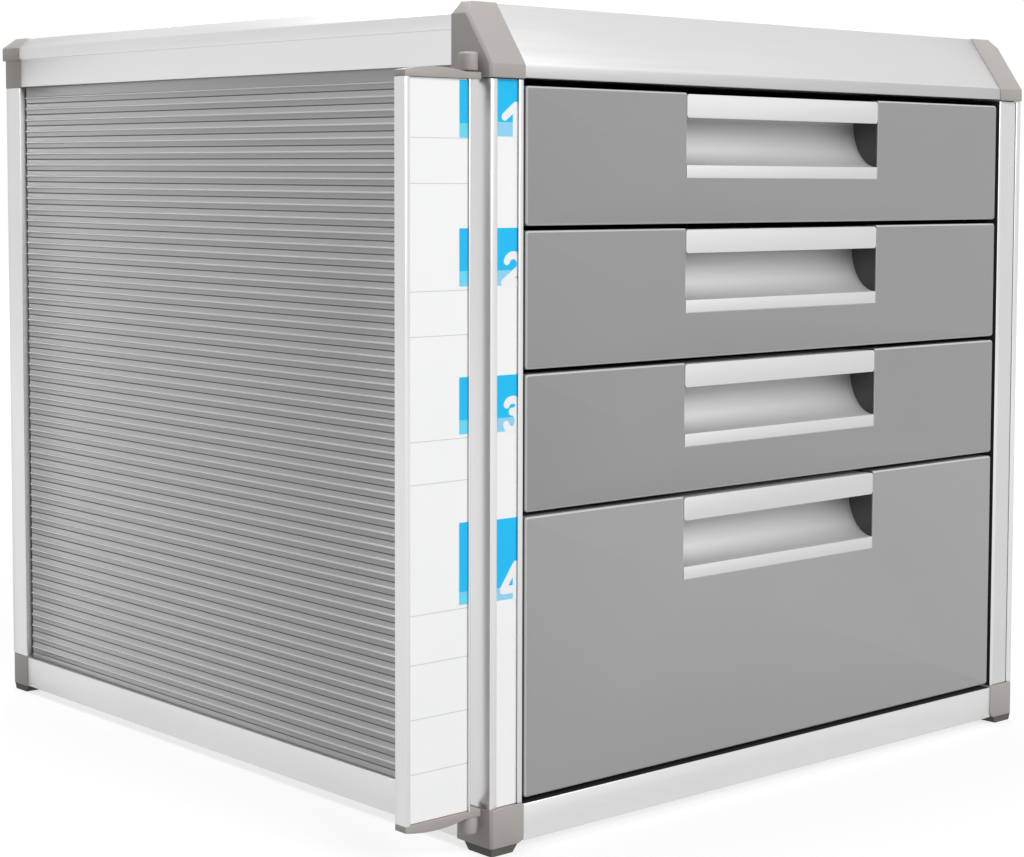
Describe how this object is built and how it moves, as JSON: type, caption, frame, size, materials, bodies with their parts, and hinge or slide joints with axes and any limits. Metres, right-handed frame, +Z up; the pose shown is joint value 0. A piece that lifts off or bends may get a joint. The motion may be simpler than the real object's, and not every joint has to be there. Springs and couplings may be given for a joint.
{
  "type": "desktop file drawer cabinet",
  "caption": "Desktop file cabinet with a sloping front lintel, shallow drawers over a deep one, ribbed side panels and a hinged index board.",
  "frame": {"origin": "middle of the cabinet footprint, without the index board, on the surface it stands on", "axes": "+Z up, drawers open towards -Y, +Y to the back, the index board hinges on the -X side"},
  "size_m": [0.3356, 0.3517, 0.3015],
  "materials": {
    "rail_aluminium": "fine satin anodised",
    "board_aluminium": "fine satin anodised",
    "handle_aluminium": "brushed along its length",
    "corner_plastic": "warm grey, fine grain",
    "panel_plastic": "mid grey, semi-gloss, ribbed",
    "front_plastic": "mid grey, satin",
    "tray_plastic": "mid grey, plain moulded",
    "runner_plastic": "dark grey, slippery",
    "sheet_plastic": "mid grey sheet",
    "cheek_plastic": "near black",
    "foot_rubber": "dark, soft",
    "card_paper": "white printed card",
    "blank_plastic": "plain pale grey strip",
    "clear_cover": "clear strip"
  },
  "bodies": {
    "cabinet": {"back_panel": "sheet_plastic", "bottom_corner_front_left": "corner_plastic", "bottom_corner_front_right": "corner_plastic", "bottom_corner_rear_left": "corner_plastic", "bottom_corner_rear_right": "corner_plastic", "bottom_panel": "sheet_plastic", "bottom_rail_front": "rail_aluminium", "bottom_rail_left": "rail_aluminium", "bottom_rail_rear": "rail_aluminium", "bottom_rail_right": "rail_aluminium", "feet": "foot_rubber", "post_blank_strip": "blank_plastic", "post_front_left": "rail_aluminium", "post_front_right": "rail_aluminium", "post_index_card": "card_paper", "post_index_cover": "clear_cover", "post_rear_left": "rail_aluminium", "post_rear_right": "rail_aluminium", "runner_frame_left": "runner_plastic", "runner_frame_right": "runner_plastic", "side_panel_left": "panel_plastic", "side_panel_right": "panel_plastic", "top_corner_front_left": "corner_plastic", "top_corner_front_right": "corner_plastic", "top_corner_rear_left": "corner_plastic", "top_corner_rear_right": "corner_plastic", "top_panel": "sheet_plastic", "top_rail_front": "rail_aluminium", "top_rail_left": "rail_aluminium", "top_rail_rear": "rail_aluminium", "top_rail_right": "rail_aluminium"},
    "drawer_1": {"drawer_1_front": "front_plastic", "drawer_1_handle": "handle_aluminium", "drawer_1_handle_cheeks": "cheek_plastic", "drawer_1_tray": "tray_plastic"},
    "drawer_2": {"drawer_2_front": "front_plastic", "drawer_2_handle": "handle_aluminium", "drawer_2_handle_cheeks": "cheek_plastic", "drawer_2_tray": "tray_plastic"},
    "drawer_3": {"drawer_3_front": "front_plastic", "drawer_3_handle": "handle_aluminium", "drawer_3_handle_cheeks": "cheek_plastic", "drawer_3_tray": "tray_plastic"},
    "drawer_4": {"drawer_4_front": "front_plastic", "drawer_4_handle": "handle_aluminium", "drawer_4_handle_cheeks": "cheek_plastic", "drawer_4_tray": "tray_plastic"},
    "index_board": {"index_board_bottom_cap": "corner_plastic", "index_board_card": "card_paper", "index_board_channel": "board_aluminium", "index_board_cover": "clear_cover", "index_board_top_cap": "corner_plastic"}
  },
  "joints": [
    {"name": "drawer_1_slide", "type": "slide", "parent": "cabinet", "child": "drawer_1", "axis": [0, -1, 0], "range_m": [0, 0.255]},
    {"name": "drawer_2_slide", "type": "slide", "parent": "cabinet", "child": "drawer_2", "axis": [0, -1, 0], "range_m": [0, 0.255]},
    {"name": "drawer_3_slide", "type": "slide", "parent": "cabinet", "child": "drawer_3", "axis": [0, -1, 0], "range_m": [0, 0.255]},
    {"name": "drawer_4_slide", "type": "slide", "parent": "cabinet", "child": "drawer_4", "axis": [0, -1, 0], "range_m": [0, 0.255]},
    {"name": "index_board_hinge", "type": "hinge", "parent": "cabinet", "child": "index_board", "pos_m": [-0.155, -0.1685, 0], "axis": [0, 0, 1], "range_deg": [-90, 90]}
  ]
}
